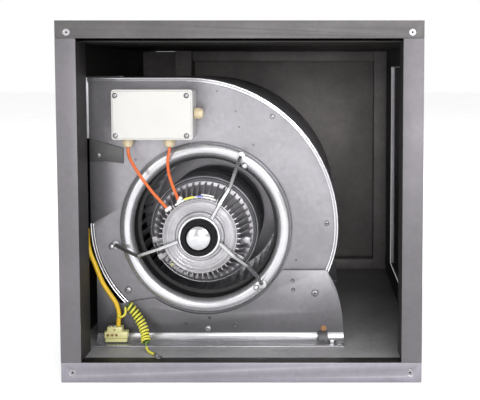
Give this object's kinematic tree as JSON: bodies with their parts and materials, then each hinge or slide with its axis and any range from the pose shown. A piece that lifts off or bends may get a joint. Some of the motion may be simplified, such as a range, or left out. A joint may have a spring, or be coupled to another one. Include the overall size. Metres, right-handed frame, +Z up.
{
  "type": "inline duct fan",
  "caption": "Square sheet-metal duct fan with an open service side, a double-inlet centrifugal scroll fan, a finned direct-drive motor, a junction box and earth leads.",
  "frame": {"origin": "on the floor, under the middle of the cabinet", "axes": "+Z up, -Y towards the open service side, +X towards the inlet duct and -X towards the discharge duct"},
  "size_m": [0.524, 0.52, 0.5],
  "materials": {
    "cabinet": "satin grey coated sheet steel",
    "interior": "matt dark grey sheet steel",
    "galvanised": "galvanised sheet steel, semi-bright",
    "dark_sheet": "dark matt sheet steel",
    "cast_aluminium": "die-cast, semi-bright",
    "motor_can": "dark grey satin enamel",
    "steel": "zinc plated, bright",
    "laminations": "matt",
    "rubber": "matt black",
    "box_plastic": "fine textured off-white",
    "gland_plastic": "cream, satin",
    "capacitor": "satin",
    "orange_lead": "satin orange sleeving",
    "yellow_lead": "satin yellow sleeving",
    "earth_lead": "satin, striped green and yellow"
  },
  "bodies": {
    "housing": {"top_panel": "cabinet", "base_panel": "cabinet", "left_side_panel": "cabinet", "right_side_panel": "cabinet", "floor_liner": "interior", "ceiling_liner": "interior", "rear_post_right": "interior", "rear_post_left": "interior", "rear_rail_bottom": "interior", "rear_rail_top": "interior", "rear_panel": "interior", "discharge_collar": "galvanised", "inlet_collar": "galvanised", "inlet_blanking_panel": "galvanised", "scroll_wrap": "galvanised", "scroll_side_front": "galvanised", "scroll_side_rear": "galvanised", "inlet_ring_front": "galvanised", "inlet_ring_rear": "galvanised", "support_plate_front": "galvanised", "support_plate_rear": "galvanised", "motor_clamp_ring": "galvanised", "cutoff_plate": "dark_sheet", "cutoff_tab": "dark_sheet", "motor_end_shield_front": "cast_aluminium", "motor_end_shield_rear": "cast_aluminium", "motor_can": "motor_can", "bearing_front": "steel", "bearing_rear": "steel", "bearing_cap": "steel", "motor_arm_upper": "steel", "motor_arm_left": "steel", "motor_arm_lower": "steel", "earth_ring_terminal": "steel", "corner_rivet_bottom_left": "steel", "corner_rivet_bottom_right": "steel", "corner_rivet_top_left": "steel", "corner_rivet_top_right": "steel", "motor_stator": "laminations", "rubber_mount_ring": "rubber", "junction_box_base": "box_plastic", "junction_box_lid": "box_plastic", "cable_gland_left": "gland_plastic", "cable_gland_right": "gland_plastic", "cable_gland_supply": "gland_plastic", "terminal_strip": "gland_plastic", "earth_terminal_block": "gland_plastic", "run_capacitor": "capacitor", "motor_lead_left": "orange_lead", "motor_lead_right": "orange_lead", "earth_lead": "yellow_lead", "earth_coil": "earth_lead"},
    "impeller": {"blade_cage_front": "galvanised", "blade_cage_rear": "galvanised", "impeller_centre_disc": "galvanised", "impeller_hub": "cast_aluminium", "impeller_end_ring_front": "galvanised", "impeller_end_ring_rear": "galvanised", "motor_shaft": "steel", "motor_rotor": "laminations"}
  },
  "joints": [
    {"name": "impeller_spin", "type": "hinge", "parent": "housing", "child": "impeller", "pos_m": [-0.06, 0, 0.1995], "axis": [0, -1, 0], "continuous": true}
  ]
}
